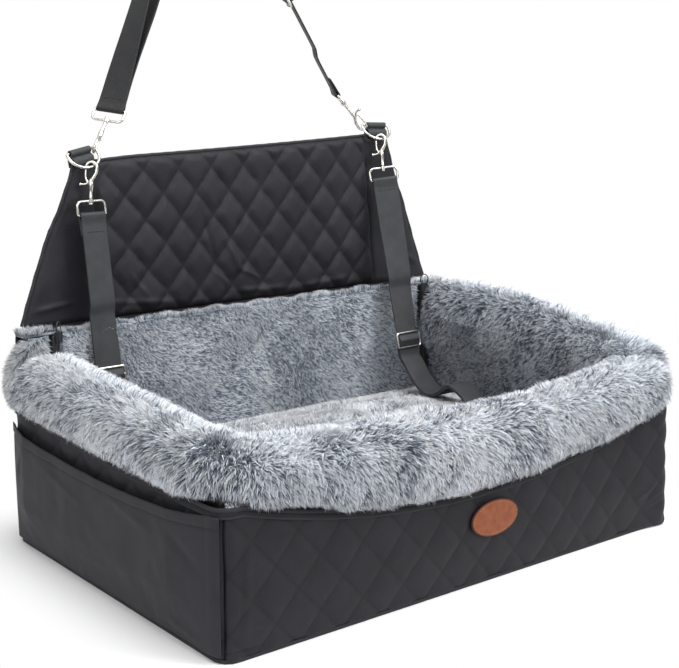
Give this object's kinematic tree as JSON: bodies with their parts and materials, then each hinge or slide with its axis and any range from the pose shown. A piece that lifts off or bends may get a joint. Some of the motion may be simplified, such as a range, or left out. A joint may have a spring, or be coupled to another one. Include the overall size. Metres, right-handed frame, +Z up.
{
  "type": "dog_car_seat",
  "caption": "Padded car seat for a dog: fur-lined open basket with quilted walls, side pocket, oval badge, back flap, two clip tethers and a hanging headrest strap.",
  "frame": {"origin": "centre of the flat underside of the basket", "axes": "x along the width, y along the depth with the front of the seat at minus y, z up"},
  "size_m": [0.6012, 0.481, 0.6884],
  "materials": {
    "quilted_cloth": "black cloth quilted in diamonds, soft sheen",
    "plain_cloth": "plain black woven cloth, matte",
    "plush_fur": "long blue-grey artificial fur with dark flecks and pale tips",
    "foam": "open-cell foam and wadding inside the covers",
    "tan_leather": "tan leather, stitched near its edge",
    "webbing": "charcoal woven webbing",
    "zip_tape": "black zip tape",
    "nickel": "polished nickel-plated steel wire and castings"
  },
  "bodies": {
    "basket": {"badge": "tan_leather", "base_foam": "foam", "bottom_panel": "plain_cloth", "corner_zip_left": "zip_tape", "corner_zip_right": "zip_tape", "fold_strip": "plain_cloth", "front_cover": "quilted_cloth", "front_foam": "foam", "front_lining": "plush_fur", "left_cover": "quilted_cloth", "left_foam": "foam", "left_lining": "plush_fur", "left_pocket": "plain_cloth", "rear_cover": "quilted_cloth", "rear_foam": "foam", "rear_lining": "plush_fur", "rear_rim_left": "plush_fur", "rear_rim_right": "plush_fur", "right_cover": "quilted_cloth", "right_foam": "foam", "right_lining": "plush_fur", "rim_front": "plush_fur", "rim_left": "plush_fur", "rim_right": "plush_fur", "rim_zip_tape": "zip_tape", "seat_cushion": "plush_fur", "tether_left": "webbing", "tether_low_left_bail": "nickel", "tether_low_right_bail": "nickel", "tether_right": "webbing"},
    "flap": {"flap_front": "quilted_cloth", "flap_core": "foam", "flap_back": "plain_cloth", "flap_binding": "plain_cloth", "flap_loop_left": "webbing", "flap_loop_right": "webbing", "tether_top_left_bail": "nickel", "tether_top_right_bail": "nickel"},
    "strap": {"strap_webbing": "webbing", "strap_left_bail": "nickel", "strap_right_bail": "nickel"},
    "ring_left": {"ring_left": "nickel"},
    "glide_left": {"glide_left": "nickel"},
    "zip_slider_left": {"zip_slider_left": "nickel"},
    "ring_right": {"ring_right": "nickel"},
    "glide_right": {"glide_right": "nickel"},
    "zip_slider_right": {"zip_slider_right": "nickel"},
    "glide_strap": {"glide_strap": "nickel"},
    "tether_top_left_hook": {"tether_top_left_hook": "nickel"},
    "tether_top_left_bolt": {"tether_top_left_bolt": "nickel"},
    "tether_top_right_hook": {"tether_top_right_hook": "nickel"},
    "tether_top_right_bolt": {"tether_top_right_bolt": "nickel"},
    "tether_low_left_hook": {"tether_low_left_hook": "nickel"},
    "tether_low_left_bolt": {"tether_low_left_bolt": "nickel"},
    "tether_low_right_hook": {"tether_low_right_hook": "nickel"},
    "tether_low_right_bolt": {"tether_low_right_bolt": "nickel"},
    "strap_left_hook": {"strap_left_hook": "nickel"},
    "strap_left_bolt": {"strap_left_bolt": "nickel"},
    "strap_right_hook": {"strap_right_hook": "nickel"},
    "strap_right_bolt": {"strap_right_bolt": "nickel"}
  },
  "joints": [
    {"name": "flap_fold", "type": "hinge", "parent": "basket", "child": "flap", "pos_m": [0, 0.18255, 0.22312], "axis": [1, 0, 0], "range_deg": [0, 60], "deforming": ["tether_left", "tether_right"]},
    {"name": "strap_swing", "type": "hinge", "parent": "flap", "child": "strap", "pos_m": [-0.17804, 0.19485, 0.40034], "axis": [0.9993, -0.005, 0.0369], "range_deg": [-8, 12]},
    {"name": "ring_left_turn", "type": "hinge", "parent": "flap", "child": "ring_left", "pos_m": [-0.19618, 0.19174, 0.39841], "axis": [0.9634, 0.2137, 0.1616], "range_deg": [-0.3, 1.2]},
    {"name": "ring_right_turn", "type": "hinge", "parent": "flap", "child": "ring_right", "pos_m": [0.19782, 0.19264, 0.41399], "axis": [0.9969, -0.071, -0.0333], "range_deg": [-0.3, 1.2]},
    {"name": "tether_top_left_swivel", "type": "hinge", "parent": "flap", "child": "tether_top_left_hook", "pos_m": [-0.19595, 0.17422, 0.34859], "axis": [0.1478, 0.1511, 0.9774], "range_deg": [-4, 4]},
    {"name": "tether_top_left_bolt_slide", "type": "slide", "parent": "tether_top_left_hook", "child": "tether_top_left_bolt", "axis": [-0.1478, -0.1511, -0.9774], "range_m": [0, 0.006], "stiffness_N_per_m": 60},
    {"name": "tether_top_right_swivel", "type": "hinge", "parent": "flap", "child": "tether_top_right_hook", "pos_m": [0.19318, 0.17152, 0.36429], "axis": [0.0921, 0.2324, 0.9682], "range_deg": [-4, 4]},
    {"name": "tether_top_right_bolt_slide", "type": "slide", "parent": "tether_top_right_hook", "child": "tether_top_right_bolt", "axis": [-0.0921, -0.2324, -0.9682], "range_m": [0, 0.006], "stiffness_N_per_m": 60},
    {"name": "strap_left_swivel", "type": "hinge", "parent": "strap", "child": "strap_left_hook", "pos_m": [-0.15802, 0.20557, 0.42787], "axis": [-0.561, -0.3005, -0.7714], "range_deg": [-8, 8]},
    {"name": "strap_left_bolt_slide", "type": "slide", "parent": "strap_left_hook", "child": "strap_left_bolt", "axis": [0.561, 0.3005, 0.7714], "range_m": [0, 0.006], "stiffness_N_per_m": 60},
    {"name": "strap_right_swivel", "type": "hinge", "parent": "strap", "child": "strap_right_hook", "pos_m": [0.15779, 0.20249, 0.44039], "axis": [0.6034, -0.2642, -0.7524], "range_deg": [-8, 8]},
    {"name": "strap_right_bolt_slide", "type": "slide", "parent": "strap_right_hook", "child": "strap_right_bolt", "axis": [-0.6034, 0.2642, 0.7524], "range_m": [0, 0.006], "stiffness_N_per_m": 60},
    {"name": "tether_low_left_swivel", "type": "hinge", "parent": "basket", "child": "tether_low_left_hook", "pos_m": [-0.195, 0.006, 0.1052], "axis": [0, -1, 0], "range_deg": [-10, 10]},
    {"name": "tether_low_left_bolt_slide", "type": "slide", "parent": "tether_low_left_hook", "child": "tether_low_left_bolt", "axis": [0, 1, 0], "range_m": [0, 0.006], "stiffness_N_per_m": 60},
    {"name": "tether_low_right_swivel", "type": "hinge", "parent": "basket", "child": "tether_low_right_hook", "pos_m": [0.195, 0.004, 0.1052], "axis": [0, -1, 0], "range_deg": [-10, 10]},
    {"name": "tether_low_right_bolt_slide", "type": "slide", "parent": "tether_low_right_hook", "child": "tether_low_right_bolt", "axis": [0, 1, 0], "range_m": [0, 0.006], "stiffness_N_per_m": 60},
    {"name": "glide_left_slide", "type": "slide", "parent": "basket", "child": "glide_left", "axis": [-0.0051, 0.1528, 0.9883], "range_m": [0, 0.05], "deforming": ["tether_left"]},
    {"name": "glide_right_slide", "type": "slide", "parent": "basket", "child": "glide_right", "axis": [-0.0086, 0.2334, 0.9723], "range_m": [0, 0.05], "deforming": ["tether_right"]},
    {"name": "glide_strap_slide", "type": "slide", "parent": "strap", "child": "glide_strap", "axis": [-0.454, 0.17, 0.8746], "range_m": [-0.05, 0.05], "deforming": ["strap_webbing"]},
    {"name": "zip_slider_left_slide", "type": "slide", "parent": "basket", "child": "zip_slider_left", "axis": [0, 0, -1], "range_m": [0, 0.06]},
    {"name": "zip_slider_right_slide", "type": "slide", "parent": "basket", "child": "zip_slider_right", "axis": [0, 0, -1], "range_m": [0, 0.06]}
  ]
}
